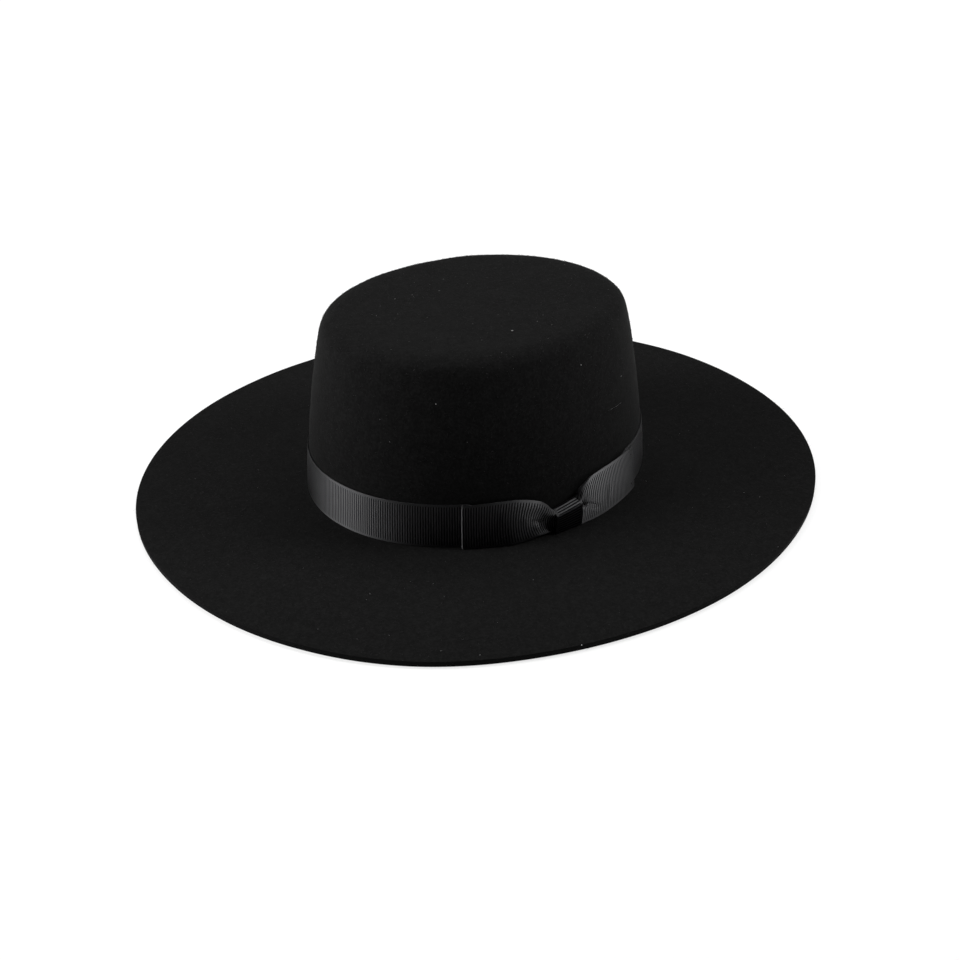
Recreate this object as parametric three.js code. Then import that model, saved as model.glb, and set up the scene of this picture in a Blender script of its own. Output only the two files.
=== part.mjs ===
import * as THREE from 'three';

// A black felt hat with a low oval crown, a flat top, a wide flat brim and a ribbon with a flat bow.
// Millimetres, +Z up. The brim lies on z = 0, the wearer faces -Y and the bow is on the wearer's left, +X.

// Felt body
const FELT = 3.0;
const BRIM_LENGTH = 404;
const BRIM_WIDTH = 370.4;
const BRIM_EDGE_ROUND = 0.6;
const HEAD_LENGTH = 206.6;
const HEAD_WIDTH = 176;
const CROWN_X = -0.5;
const CROWN_Y = -2;
const CROWN_HEIGHT = 103.5;
const WALL_LEAN = 10.8;
const WALL_SWELL = 1.55;
const SHOULDER_RISE = 13.2;
const SHOULDER_RUN = 9.4;
const LENGTH_LEAN = 1.07;
const BRIM_POWER = 2.06;
const CROWN_POWER = 2.04;

// Ribbon band, bow and knot
const RIBBON = 1.0;
const RIBBON_WIDTH = 25.2;
const GAP = 0.3;
const BOW_MIDDLE_DEGREES = -4;
const BOW_MM_PER_RADIAN = 103;
const KNOT_WIDTH = 16.4;
const KNOT_HEIGHT = 13.4;
const KNOT_DEPTH = 4.9;
const KNOT_POWER = 6;
const WAIST_HALF = 8;

// Fineness
const SEGMENTS = 96;
const WALL_STEPS = 7;
const SHOULDER_STEPS = 7;
const ROUND_STEPS = 3;
const BOW_STEPS = 17;
const BOW_CROWDING = 1.4;
const WAIST_STEPS = 4;
const BAND_STEPS = 80;
const BOW_LEVELS = [0, 0.25, 0.5, 0.75, 1];
const KNOT_STEPS = 28;
const KNOT_SLICES = 5;

const WALL_TOP = CROWN_HEIGHT - SHOULDER_RISE;
const BAND_BOTTOM = FELT + GAP;
const BAND_TOP = BAND_BOTTOM + RIBBON_WIDTH;
const BACK_LAYER = GAP + RIBBON + GAP + RIBBON / 2;
const GATHER_MARGIN = 0.8;

// The front layer of the bow, station by station. along: distance from the knot's middle, to the
// wearer's front if negative. bottom and top: heights of the ribbon's edges. low, middle and high:
// how far the layer's own middle stands off the crown at its bottom edge, middle and top edge.
const BOW_STATIONS = [
  { along: -60, bottom: 3.5, top: 29.3, low: 3.4, middle: 3.4, high: 3.4 },
  { along: -52, bottom: 3.4, top: 29.3, low: 3.9, middle: 4.0, high: 3.5 },
  { along: -36, bottom: 3.4, top: 29.2, low: 5.8, middle: 5.6, high: 3.9 },
  { along: -22, bottom: 3.4, top: 29.0, low: 6.5, middle: 5.9, high: 4.4 },
  { along: -15, bottom: 3.5, top: 26.0, low: 5.9, middle: 4.7, high: 5.1 },
  { along: -10, bottom: 4.2, top: 18.6, low: 5.2, middle: 4.4, high: 5.0 },
  { along: -8, bottom: 4.9, top: 15.1, low: 4.7, middle: 4.5, high: 4.7 },
  { along: 8, bottom: 4.9, top: 15.1, low: 4.7, middle: 4.5, high: 4.7 },
  { along: 10, bottom: 4.2, top: 19.5, low: 5.4, middle: 4.4, high: 5.2 },
  { along: 14, bottom: 3.5, top: 27.2, low: 6.1, middle: 4.8, high: 5.2 },
  { along: 22, bottom: 3.4, top: 29.2, low: 6.4, middle: 5.8, high: 4.2 },
  { along: 36, bottom: 3.4, top: 29.3, low: 5.7, middle: 5.4, high: 3.8 },
  { along: 48, bottom: 3.4, top: 29.3, low: 4.0, middle: 4.0, high: 3.5 },
  { along: 56, bottom: 3.5, top: 29.2, low: 3.4, middle: 3.4, high: 3.4 },
];

// The back layer lies on the band in the lobes and is lifted by the knot at the waist.
const BACK_STATIONS = [
  { along: -60, lift: 0 },
  { along: -16, lift: 0 },
  { along: -9, lift: 1.3 },
  { along: 9, lift: 1.3 },
  { along: 16, lift: 0 },
  { along: 56, lift: 0 },
];

// Ovals

function ovalPoint(oval, angle) {
  const c = Math.cos(angle);
  const s = Math.sin(angle);
  const reach = (Math.abs(c) ** oval.power + Math.abs(s) ** oval.power) ** (-1 / oval.power);
  return new THREE.Vector2(oval.x + oval.halfX * c * reach, oval.y + oval.halfY * s * reach);
}

function ovalRing(oval, z) {
  const ring = [];
  for (let i = 0; i < SEGMENTS; i += 1) {
    const point = ovalPoint(oval, (2 * Math.PI * i) / SEGMENTS);
    ring.push(new THREE.Vector3(point.x, point.y, z));
  }
  return ring;
}

function brimOval(inset) {
  return {
    x: 0,
    y: 0,
    halfX: BRIM_WIDTH / 2 - inset,
    halfY: BRIM_LENGTH / 2 - inset,
    power: BRIM_POWER,
  };
}

function crownOval(lean, offset) {
  return {
    x: CROWN_X,
    y: CROWN_Y,
    halfX: HEAD_WIDTH / 2 - lean + offset,
    halfY: HEAD_LENGTH / 2 - lean * LENGTH_LEAN + offset,
    power: CROWN_POWER,
  };
}

// How far the outer wall has leaned inward at a height above the brim.
function wallLean(z) {
  const share = (z - FELT) / (WALL_TOP - FELT);
  return WALL_LEAN * share - 4 * WALL_SWELL * share * (1 - share);
}

// Felt body: one closed skin of constant thickness, open below for the head

// The outer profile as points (lean, height), from the brim up the wall and round the shoulder.
function crownProfile() {
  const points = [];
  for (let i = 0; i <= WALL_STEPS; i += 1) {
    const z = THREE.MathUtils.lerp(FELT, WALL_TOP, i / WALL_STEPS);
    points.push(new THREE.Vector2(wallLean(z), z));
  }
  const slope = (WALL_LEAN + 4 * WALL_SWELL) / (WALL_TOP - FELT);
  const start = new THREE.Vector2(WALL_LEAN, WALL_TOP);
  const corner = new THREE.Vector2(WALL_LEAN + slope * SHOULDER_RISE, CROWN_HEIGHT);
  const end = new THREE.Vector2(WALL_LEAN + SHOULDER_RUN, CROWN_HEIGHT);
  for (let i = 1; i <= SHOULDER_STEPS; i += 1) {
    points.push(circlePoint(start, corner, end, i / SHOULDER_STEPS));
  }
  return points;
}

// A point of the rounded corner that leaves start and reaches end, like an ellipse's quarter.
function circlePoint(start, corner, end, share) {
  const pull = Math.SQRT1_2;
  const a = (1 - share) ** 2;
  const b = 2 * share * (1 - share) * pull;
  const c = share ** 2;
  const total = a + b + c;
  return new THREE.Vector2(
    (a * start.x + b * corner.x + c * end.x) / total,
    (a * start.y + b * corner.y + c * end.y) / total,
  );
}

// The same profile moved inward by the felt's thickness, square to the wall.
function innerProfile(outer) {
  return outer.map((point, i) => {
    const before = outer[Math.max(i - 1, 0)];
    const after = outer[Math.min(i + 1, outer.length - 1)];
    const along = after.clone().sub(before).normalize();
    return new THREE.Vector2(point.x + FELT * along.y, point.y - FELT * along.x);
  });
}

function feltBody() {
  const outer = crownProfile();
  const inner = innerProfile(outer);
  inner[inner.length - 1].y = CROWN_HEIGHT - FELT;
  const rings = [];
  for (const point of inner.slice(1).reverse()) {
    rings.push(ovalRing(crownOval(point.x, 0), point.y));
  }
  for (let i = ROUND_STEPS; i >= 0; i -= 1) {
    const turn = (Math.PI / 2) * (i / ROUND_STEPS);
    rings.push(ovalRing(crownOval(0, -FELT * Math.sin(turn)), FELT * (1 - Math.cos(turn))));
  }
  rings.push(ovalRing(brimOval(BRIM_EDGE_ROUND), 0));
  rings.push(ovalRing(brimOval(0), BRIM_EDGE_ROUND));
  rings.push(ovalRing(brimOval(0), FELT - BRIM_EDGE_ROUND));
  rings.push(ovalRing(brimOval(BRIM_EDGE_ROUND), FELT));
  for (const point of outer) {
    rings.push(ovalRing(crownOval(point.x, 0), point.y));
  }
  const underTop = new THREE.Vector3(CROWN_X, CROWN_Y, CROWN_HEIGHT - FELT);
  const top = new THREE.Vector3(CROWN_X, CROWN_Y, CROWN_HEIGHT);
  return cappedLoft(rings, underTop, top);
}

// Ribbon band: a closed loop of ribbon round the foot of the crown, gathered in the knot

// Distances along the band: those of the bow in front of it, then even steps round the rest.
function bandDistances() {
  const distances = bowDistances();
  const start = distances.at(-1);
  const end = distances[0] + 2 * Math.PI * BOW_MM_PER_RADIAN;
  for (let i = 1; i < BAND_STEPS; i += 1) {
    distances.push(THREE.MathUtils.lerp(start, end, i / BAND_STEPS));
  }
  return distances;
}

// Height of the band's top edge, which dips with the bow's towards the knot.
function bandTop(along) {
  if (along > BOW_STATIONS.at(-1).along) {
    return BAND_TOP;
  }
  return Math.min(BAND_TOP, rowAt(BOW_STATIONS, along).top - GATHER_MARGIN);
}

function ribbonBand() {
  const distances = bandDistances();
  const edge = (standOff, heightAt) => distances.map((along) => onCrown(along, standOff, heightAt(along)));
  return closedLoft([
    edge(GAP, () => BAND_BOTTOM),
    edge(GAP + RIBBON, () => BAND_BOTTOM),
    edge(GAP + RIBBON, bandTop),
    edge(GAP, bandTop),
  ]);
}

// Bow: one ribbon folded into two lobes, a front and a back layer joined by a fold at each end

// A row of the table between two stations, with every column blended.
function rowAt(table, along) {
  let i = 1;
  while (i < table.length - 1 && table[i].along < along) {
    i += 1;
  }
  const before = table[i - 1];
  const after = table[i];
  const share = (along - before.along) / (after.along - before.along);
  const row = {};
  for (const column of Object.keys(before)) {
    row[column] = THREE.MathUtils.lerp(before[column], after[column], share);
  }
  return row;
}

// A point given by its distance along the crown from the knot, its stand-off and its height.
function onCrown(along, standOff, z) {
  const angle = THREE.MathUtils.degToRad(BOW_MIDDLE_DEGREES) + along / BOW_MM_PER_RADIAN;
  const point = ovalPoint(crownOval(wallLean(z), standOff), angle);
  return new THREE.Vector3(point.x, point.y, z);
}

// Distances along the bow, closer together beside the knot.
function bowDistances() {
  const left = BOW_STATIONS[0].along;
  const right = BOW_STATIONS.at(-1).along;
  const distances = [];
  for (let i = 0; i <= BOW_STEPS; i += 1) {
    distances.push(THREE.MathUtils.lerp(-WAIST_HALF, left, (1 - i / BOW_STEPS) ** BOW_CROWDING));
  }
  for (let i = 1; i < WAIST_STEPS; i += 1) {
    distances.push(THREE.MathUtils.lerp(-WAIST_HALF, WAIST_HALF, i / WAIST_STEPS));
  }
  for (let i = 0; i <= BOW_STEPS; i += 1) {
    distances.push(THREE.MathUtils.lerp(WAIST_HALF, right, (i / BOW_STEPS) ** BOW_CROWDING));
  }
  return distances;
}

// One level of the bow's closed path, as points (along, stand-off), level 0 at the bottom edge.
function bowPath(level) {
  const front = [];
  const back = [];
  for (const along of bowDistances()) {
    const row = rowAt(BOW_STATIONS, along);
    const lower = THREE.MathUtils.lerp(row.low, row.middle, Math.min(2 * level, 1));
    const standOff = THREE.MathUtils.lerp(lower, row.high, Math.max(2 * level - 1, 0));
    const heights = { bottom: row.bottom, top: row.top };
    front.push({ along, standOff, ...heights });
    const lift = rowAt(BACK_STATIONS, along).lift;
    back.unshift({ along, standOff: BACK_LAYER + lift, ...heights });
  }
  return [...front, foldPoint(front.at(-1), back[0], 1), ...back, foldPoint(front[0], back.at(-1), -1)];
}

// The middle of the fold that joins the two layers at an end of the bow.
function foldPoint(front, back, side) {
  const reach = (front.standOff - back.standOff) / 2;
  return { ...front, along: front.along + side * reach, standOff: (front.standOff + back.standOff) / 2 };
}

// Both faces of the ribbon at one level: the path moved outward and inward by half its thickness.
function ribbonFaces(path) {
  const count = path.length;
  return path.map((point, i) => {
    const before = path[(i + count - 1) % count];
    const after = path[(i + 1) % count];
    const along = new THREE.Vector2(after.along - before.along, after.standOff - before.standOff);
    along.normalize().multiplyScalar(RIBBON / 2);
    return {
      outer: new THREE.Vector2(point.along - along.y, point.standOff + along.x),
      inner: new THREE.Vector2(point.along + along.y, point.standOff - along.x),
      bottom: point.bottom,
      top: point.top,
    };
  });
}

function bow() {
  const faces = BOW_LEVELS.map((level) => ribbonFaces(bowPath(level)));
  const sections = faces[0].map((_, i) => {
    const place = (k, side) => {
      const face = faces[k][i];
      const z = THREE.MathUtils.lerp(face.bottom, face.top, BOW_LEVELS[k]);
      return onCrown(face[side].x, face[side].y, z);
    };
    const inside = BOW_LEVELS.map((_, k) => place(k, 'inner'));
    const outside = BOW_LEVELS.map((_, k) => place(k, 'outer')).reverse();
    return [...inside, ...outside];
  });
  return closedLoft(sections);
}

// Knot: a short ribbon wrapped round the bow's waist

function bowKnot() {
  const middle = GAP + RIBBON + GAP + KNOT_DEPTH / 2;
  const slices = [];
  for (let i = 0; i < KNOT_SLICES; i += 1) {
    slices.push(THREE.MathUtils.lerp(-KNOT_WIDTH / 2, KNOT_WIDTH / 2, i / (KNOT_SLICES - 1)));
  }
  const sections = [];
  for (let i = 0; i < KNOT_STEPS; i += 1) {
    const turn = (2 * Math.PI * i) / KNOT_STEPS;
    const ring = (thickness, along) => {
      const oval = {
        x: middle,
        y: BAND_BOTTOM + KNOT_HEIGHT / 2,
        halfX: KNOT_DEPTH / 2 - thickness,
        halfY: KNOT_HEIGHT / 2 - thickness,
        power: KNOT_POWER,
      };
      const point = ovalPoint(oval, turn);
      return onCrown(along, point.x, point.y);
    };
    const outside = slices.map((along) => ring(0, along));
    const inside = slices.map((along) => ring(RIBBON, along)).reverse();
    sections.push([...outside, ...inside]);
  }
  return closedLoft(sections);
}

// Meshes

// A skin through rings of equal count, from a fan at the first ring to a fan at the last.
function cappedLoft(rings, firstCentre, lastCentre) {
  const count = rings[0].length;
  const points = [...rings.flat(), firstCentre, lastCentre];
  const faces = [];
  for (let r = 0; r < rings.length - 1; r += 1) {
    joinRings(faces, r * count, (r + 1) * count, count);
  }
  const last = (rings.length - 1) * count;
  for (let i = 0; i < count; i += 1) {
    const next = (i + 1) % count;
    faces.push(points.length - 2, next, i);
    faces.push(points.length - 1, last + i, last + next);
  }
  return skin(points, faces);
}

// A skin through rings of equal count whose last ring joins the first.
function closedLoft(rings) {
  const count = rings[0].length;
  const faces = [];
  for (let r = 0; r < rings.length; r += 1) {
    joinRings(faces, r * count, ((r + 1) % rings.length) * count, count);
  }
  return skin(rings.flat(), faces);
}

function joinRings(faces, first, second, count) {
  for (let i = 0; i < count; i += 1) {
    const next = (i + 1) % count;
    faces.push(first + i, first + next, second + next);
    faces.push(first + i, second + next, second + i);
  }
}

function skin(points, faces) {
  const geometry = new THREE.BufferGeometry().setFromPoints(points);
  geometry.setIndex(faces);
  geometry.computeVertexNormals();
  return geometry;
}

// Assembly

const felt = new THREE.MeshStandardMaterial({ color: 0x161617, roughness: 0.95, metalness: 0 });
const ribbon = new THREE.MeshStandardMaterial({ color: 0x1b1b1e, roughness: 0.55, metalness: 0 });

function piece(name, geometry, material) {
  const mesh = new THREE.Mesh(geometry, material);
  mesh.name = name;
  return mesh;
}

const group = new THREE.Group();
group.add(piece('felt_body', feltBody(), felt));
group.add(piece('ribbon_band', ribbonBand(), ribbon));
group.add(piece('bow', bow(), ribbon.clone()));
group.add(piece('bow_knot', bowKnot(), ribbon.clone()));

export default group;
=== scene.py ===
import math

import bpy
import numpy as np
from mathutils import Matrix, Vector, noise
from mathutils.bvhtree import BVHTree


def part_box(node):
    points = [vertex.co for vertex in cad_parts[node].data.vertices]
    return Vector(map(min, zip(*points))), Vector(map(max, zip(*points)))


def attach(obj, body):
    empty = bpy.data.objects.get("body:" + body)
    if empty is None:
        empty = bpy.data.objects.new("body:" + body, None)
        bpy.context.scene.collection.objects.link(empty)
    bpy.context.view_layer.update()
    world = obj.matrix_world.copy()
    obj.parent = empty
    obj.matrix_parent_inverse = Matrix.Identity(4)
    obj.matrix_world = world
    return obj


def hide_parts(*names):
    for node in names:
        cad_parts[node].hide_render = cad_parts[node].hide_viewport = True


# A black felt hat with a flat crown and brim, a ribbed ribbon band and a flat bow. Sizes are in
# millimetres until mesh_object() or MM turns them into the frame's metres.

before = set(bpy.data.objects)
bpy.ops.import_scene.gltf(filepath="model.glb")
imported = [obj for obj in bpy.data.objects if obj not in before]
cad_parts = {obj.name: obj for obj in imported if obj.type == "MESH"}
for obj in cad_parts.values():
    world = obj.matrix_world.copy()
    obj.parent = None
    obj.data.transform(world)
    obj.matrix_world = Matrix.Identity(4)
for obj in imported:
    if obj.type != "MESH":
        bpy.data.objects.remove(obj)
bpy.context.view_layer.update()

MM = 0.001
RANDOM = np.random.default_rng(7)


# Sizes taken from the frame

felt_low, felt_high = (np.array(corner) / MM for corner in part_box("felt_body"))
band_low, band_high = (np.array(corner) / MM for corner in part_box("ribbon_band"))

# The band's solid stands this far off the felt and is this thick.
CAD_GAP = 0.3
CAD_RIBBON = 1.0
FELT = 3.0
BRIM_HALF = (felt_high - felt_low)[:2] / 2
BRIM_CENTRE = (felt_high + felt_low)[:2] / 2
HEAD_HALF = (band_high - band_low)[:2] / 2 - CAD_GAP - CAD_RIBBON
HEAD_CENTRE = (band_high + band_low)[:2] / 2
CROWN_HEIGHT = felt_high[2]
BAND_BOTTOM = band_low[2]
BAND_TOP = band_high[2]
BAND_WIDTH = BAND_TOP - BAND_BOTTOM


# Shape of the felt, as in the frame

# The wall leans in by WALL_LEAN over its height, with its middle swelled out.
WALL_LEAN = 10.8
WALL_SWELL = 1.55
# The shoulder rises over the wall and ends where the lean is SHOULDER_END.
SHOULDER_RISE = 13.2
SHOULDER_END = 34.0
SHOULDER_POWER = 4.2
TOP_RISE = 1.1
WALL_TOP = CROWN_HEIGHT - SHOULDER_RISE
CROWN_TOP = CROWN_HEIGHT + TOP_RISE
# The lean is this many times as much along the head as across it.
LENGTH_LEAN = 1.07
BRIM_POWER = 2.06
CROWN_POWER = 2.04
# Degrees round the brim where its edge runs outside the oval, and by how much.
BRIM_SWELLS = [dict(at=-46, half=14, out=1.2), dict(at=4, half=17, out=1.1)]
EDGE_ROUND = 0.2
ROOT_ROUND = 0.8


# Ribbon sizes

RIB_PITCH = 1.4
RIB_HEIGHT = 0.1
SELVEDGE = 1.2
# The ribbon's thickness, and the gap between the felt and the band.
RIBBON = 0.4
BAND_OFF = 0.1
# Where the knot's middle is on the crown, and the way along the bow for each radian from there.
BOW_MIDDLE = math.radians(-4.0)
BOW_MM_PER_RADIAN = 103.0

# Flat sizes of the sheets
KNOT_WIDTH = 16.6


# The camera is set from the photograph: it looks down on the wearer's left front.

CAMERA_AZIMUTH = 52.26
CAMERA_ELEVATION = 29.92
CAMERA_ROLL = -0.69
CAMERA_DISTANCE = 800.0
CAMERA_SIDE = 1.33
CAMERA_TARGET_HEIGHT = -10.4
FOCAL_PIXELS = 1336.5
PICTURE_PIXELS = 960
SENSOR = 36.0


# Helpers for meshes

def mesh_object(name, points, faces):
    mesh = bpy.data.meshes.new(name)
    mesh.from_pydata(points * MM, [], faces)
    mesh.update()
    mesh.polygons.foreach_set("use_smooth", np.ones(len(mesh.polygons), bool))
    obj = bpy.data.objects.new(name, mesh)
    bpy.context.scene.collection.objects.link(obj)
    return obj


def add_point_values(obj, name, values):
    """A named number at each point, for a shader to read."""
    attribute = obj.data.attributes.new(name, "FLOAT", "POINT")
    attribute.data.foreach_set("value", values.astype(np.float32).ravel())


def grid_faces(rows, columns, wrap_rows=False):
    """Quads between rows of points that are closed in the columns' direction."""
    last_row = rows if wrap_rows else rows - 1
    r, c = np.meshgrid(np.arange(last_row), np.arange(columns), indexing="ij")
    r, c = r.ravel(), c.ravel()
    r2, c2 = (r + 1) % rows, (c + 1) % columns
    return np.stack([r * columns + c, r * columns + c2, r2 * columns + c2, r2 * columns + c], 1)


def surface_tree(piece):
    mesh = piece.data
    return BVHTree.FromPolygons([v.co for v in mesh.vertices], [f.vertices for f in mesh.polygons])


def surface_at(tree, x, y):
    """Where the camera's ray through a pixel of the photograph meets a surface, and the normal."""
    camera = bpy.context.scene.camera.matrix_world
    middle = PICTURE_PIXELS / 2
    ray = camera.to_3x3() @ Vector(((x - middle) / FOCAL_PIXELS, (middle - y) / FOCAL_PIXELS, -1))
    spot, normal, _, _ = tree.ray_cast(camera.translation, ray.normalized())
    return np.array(spot) / MM, np.array(normal)


# Helpers for shapes

def unit(vectors):
    return vectors / np.linalg.norm(vectors, axis=-1, keepdims=True)


def path_length(points):
    """The way along a line of points in a plane, up to each point."""
    return np.concatenate([[0], np.cumsum(np.hypot(*np.diff(points, axis=0).T))])


def smooth_step(low, high, value):
    share = np.clip((value - low) / (high - low), 0, 1)
    return share * share * (3 - 2 * share)


def soft_noise(points, size, seed):
    """Smooth noise of about -1 to 1 at each point, with features of that size."""
    shift = Vector((seed * 13.7, seed * -7.3, seed * 3.1))
    return np.array([noise.noise(Vector(p) / size + shift) for p in points])


def waves(points, layers):
    return sum(layer["share"] * soft_noise(points, layer["size"], layer["seed"]) for layer in layers)


def smooth_curve(x, y, at):
    """Smooth curves, without overshoot, through values y at the places x, along y's last axis."""
    step = np.diff(x)
    slope = np.diff(y) / step
    before, after = slope[..., :-1], slope[..., 1:]
    inner = before * after > 0
    safe_before, safe_after = np.where(inner, before, 1), np.where(inner, after, 1)
    w1, w2 = 2 * step[1:] + step[:-1], step[1:] + 2 * step[:-1]
    tangent = np.zeros_like(y)
    tangent[..., 1:-1] = np.where(inner, (w1 + w2) / (w1 / safe_before + w2 / safe_after), 0)
    tangent[..., 0], tangent[..., -1] = slope[..., 0], slope[..., -1]
    i = np.clip(np.searchsorted(x, at) - 1, 0, len(x) - 2)
    t = (at - x[i]) / step[i]
    return (
        (1 + 2 * t) * (1 - t) ** 2 * y[..., i]
        + t * (1 - t) ** 2 * step[i] * tangent[..., i]
        + t * t * (3 - 2 * t) * y[..., i + 1]
        + t * t * (t - 1) * step[i] * tangent[..., i + 1]
    )


def read_column(table, name, along):
    """One column of a table, read at any place along by smooth curves through its rows."""
    places = np.array([row["along"] for row in table])
    values = np.array([row[name] for row in table], float)
    return smooth_curve(places, values.T, along)


# The ovals of brim and crown

ARC_STEPS = 4000


def oval_reach(angle, power):
    return (np.abs(np.cos(angle)) ** power + np.abs(np.sin(angle)) ** power) ** (-1 / power)


def brim_swell(angle):
    """How far the cut edge runs outside its oval, in two places."""
    turn = (angle + np.pi) % (2 * np.pi) - np.pi
    parts = [
        swell["out"] * np.exp(-((turn - math.radians(swell["at"])) / math.radians(swell["half"])) ** 2)
        for swell in BRIM_SWELLS
    ]
    return sum(parts)


def brim_point(inset, angle):
    reach = oval_reach(angle, BRIM_POWER)
    out = brim_swell(angle) - inset
    x = BRIM_CENTRE[0] + (BRIM_HALF[0] + out) * np.cos(angle) * reach
    y = BRIM_CENTRE[1] + (BRIM_HALF[1] + out) * np.sin(angle) * reach
    return x, y


def crown_point(lean, standoff, angle):
    reach = oval_reach(angle, CROWN_POWER)
    x = HEAD_CENTRE[0] + (HEAD_HALF[0] - lean + standoff) * np.cos(angle) * reach
    y = HEAD_CENTRE[1] + (HEAD_HALF[1] - lean * LENGTH_LEAN + standoff) * np.sin(angle) * reach
    return x, y


def wall_lean(z):
    share = (z - FELT) / (WALL_TOP - FELT)
    return WALL_LEAN * share - 4 * WALL_SWELL * share * (1 - share)


def crown_arc(z, standoff):
    """Angles, and the way round the crown up to each, at a height and a stand-off."""
    angle = np.linspace(0, 2 * np.pi, ARC_STEPS + 1)
    return angle, path_length(np.stack(crown_point(wall_lean(z), standoff, angle), 1))


def on_crown(along, standoff, z):
    """Points from the way along the bow, the stand-off from the crown's wall and the height."""
    angle = BOW_MIDDLE + along / BOW_MM_PER_RADIAN
    x, y = crown_point(wall_lean(z), standoff, angle)
    return np.stack([x, y, z], -1)


# Felt body

FELT_SEGMENTS = 560
WALL_RINGS = 26
INSIDE_EVERY = 3
SHOULDER_RINGS = 28
UNDER_BRIM_RINGS = 14
UPPER_BRIM_RINGS = 30
INNER_TOP_SHARES = np.linspace(0.03, 0.94, 7)
OUTER_TOP_SHARES = np.linspace(0.97, 0.02, 17)
MOUTH_TURNS = np.radians([72, 54, 36, 18, 0])
EDGE_TURNS = np.radians([25, 50, 75, 90])
ROOT_TURNS = np.radians([30, 60])

# The brim's cut edge, where the felt material paints shade, is what lies this far outside the head,
# between its two faces.
CUT_BEYOND = 25.0
CUT_MARGIN = 0.04

# The unevenness of hand-blocked felt: on the crown from the band up and away from the axis, and
# on the brim from so far outside the head, where it only rises.
CROWN_UNEVEN = 0.45
UNEVEN_OVER_BAND = 15
UNEVEN_OFF_AXIS = (30, 60)
UNEVEN_OFF_HEAD = (12, 60)
BRIM_RISE = 0.5
CROWN_WAVES = [dict(size=48, seed=3, share=1.0), dict(size=17, seed=4, share=0.35)]
BRIM_UNEVEN = 0.35
BRIM_WAVES = [dict(size=90, seed=1, share=1.0), dict(size=32, seed=2, share=0.4)]
TOP_SHIFT = np.array([-0.3, -0.4])


def crown_profile():
    """The outer profile as rows (lean, height) from the brim up to where the top is flat."""
    heights = np.linspace(FELT + ROOT_ROUND, WALL_TOP, WALL_RINGS)
    wall = np.stack([wall_lean(heights), heights], 1)
    slope = (WALL_LEAN + 4 * WALL_SWELL) / (WALL_TOP - FELT)
    turn = smooth_step(0, SHOULDER_RINGS, np.arange(1, SHOULDER_RINGS + 1)) * np.pi / 2
    up = np.sin(turn) ** (2 / SHOULDER_POWER) * (CROWN_TOP - WALL_TOP)
    inward = 1 - np.clip(np.cos(turn), 0, 1) ** (2 / SHOULDER_POWER)
    lean = WALL_LEAN + slope * up
    lean += (SHOULDER_END - lean[-1]) * inward
    return np.concatenate([wall, np.stack([lean, WALL_TOP + up], 1)])


def moved_inward(profile, distance):
    along = np.gradient(profile, axis=0)
    along /= np.linalg.norm(along, axis=1)[:, None]
    return profile + distance * np.stack([along[:, 1], -along[:, 0]], 1)


def felt_rings():
    """Rings of the felt's skin, from under the flat top, down inside, out and back up outside."""
    angle = 2 * np.pi * np.arange(FELT_SEGMENTS) / FELT_SEGMENTS
    rings = []

    def add_ring(x, y, z):
        rings.append(np.stack([x, y, np.full_like(x, z)], 1))

    def crown_ring(lean, z, standoff=0.0):
        add_ring(*crown_point(lean, standoff, angle), z)

    def brim_ring(share, z, inset):
        x0, y0 = crown_point(0, 0, angle)
        x1, y1 = brim_point(inset, angle)
        add_ring(x0 + (x1 - x0) * share, y0 + (y1 - y0) * share, z)

    def disc_rings(lean, z, shares):
        x0, y0 = crown_point(lean, 0, angle)
        for share in shares:
            x = HEAD_CENTRE[0] + (x0 - HEAD_CENTRE[0]) * share
            y = HEAD_CENTRE[1] + (y0 - HEAD_CENTRE[1]) * share
            add_ring(x, y, z)

    outer = crown_profile()
    inner = moved_inward(outer, FELT)
    inner[-1, 1] = CROWN_TOP - FELT
    disc_rings(inner[-1, 0], CROWN_TOP - FELT, INNER_TOP_SHARES)
    for lean, z in inner[::-INSIDE_EVERY]:
        crown_ring(lean, z)
    for turn in MOUTH_TURNS:
        crown_ring(0, FELT * (1 - math.cos(turn)), -FELT * math.sin(turn))
    for share in np.linspace(0, 1, UNDER_BRIM_RINGS)[1:]:
        brim_ring(share, 0, EDGE_ROUND)
    for turn in EDGE_TURNS:
        brim_ring(1, EDGE_ROUND * (1 - math.cos(turn)), EDGE_ROUND * (1 - math.sin(turn)))
    for turn in EDGE_TURNS[::-1]:
        brim_ring(1, FELT - EDGE_ROUND * (1 - math.cos(turn)), EDGE_ROUND * (1 - math.sin(turn)))
    for share in np.linspace(1, 0.03, UPPER_BRIM_RINGS):
        brim_ring(share, FELT, EDGE_ROUND)
    for turn in ROOT_TURNS:
        crown_ring(0, FELT + ROOT_ROUND * (1 - math.cos(turn)), ROOT_ROUND * (1 - math.sin(turn)))
    for lean, z in outer:
        crown_ring(lean, z)
    disc_rings(outer[-1, 0], CROWN_TOP, OUTER_TOP_SHARES)
    return np.stack(rings)


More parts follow.
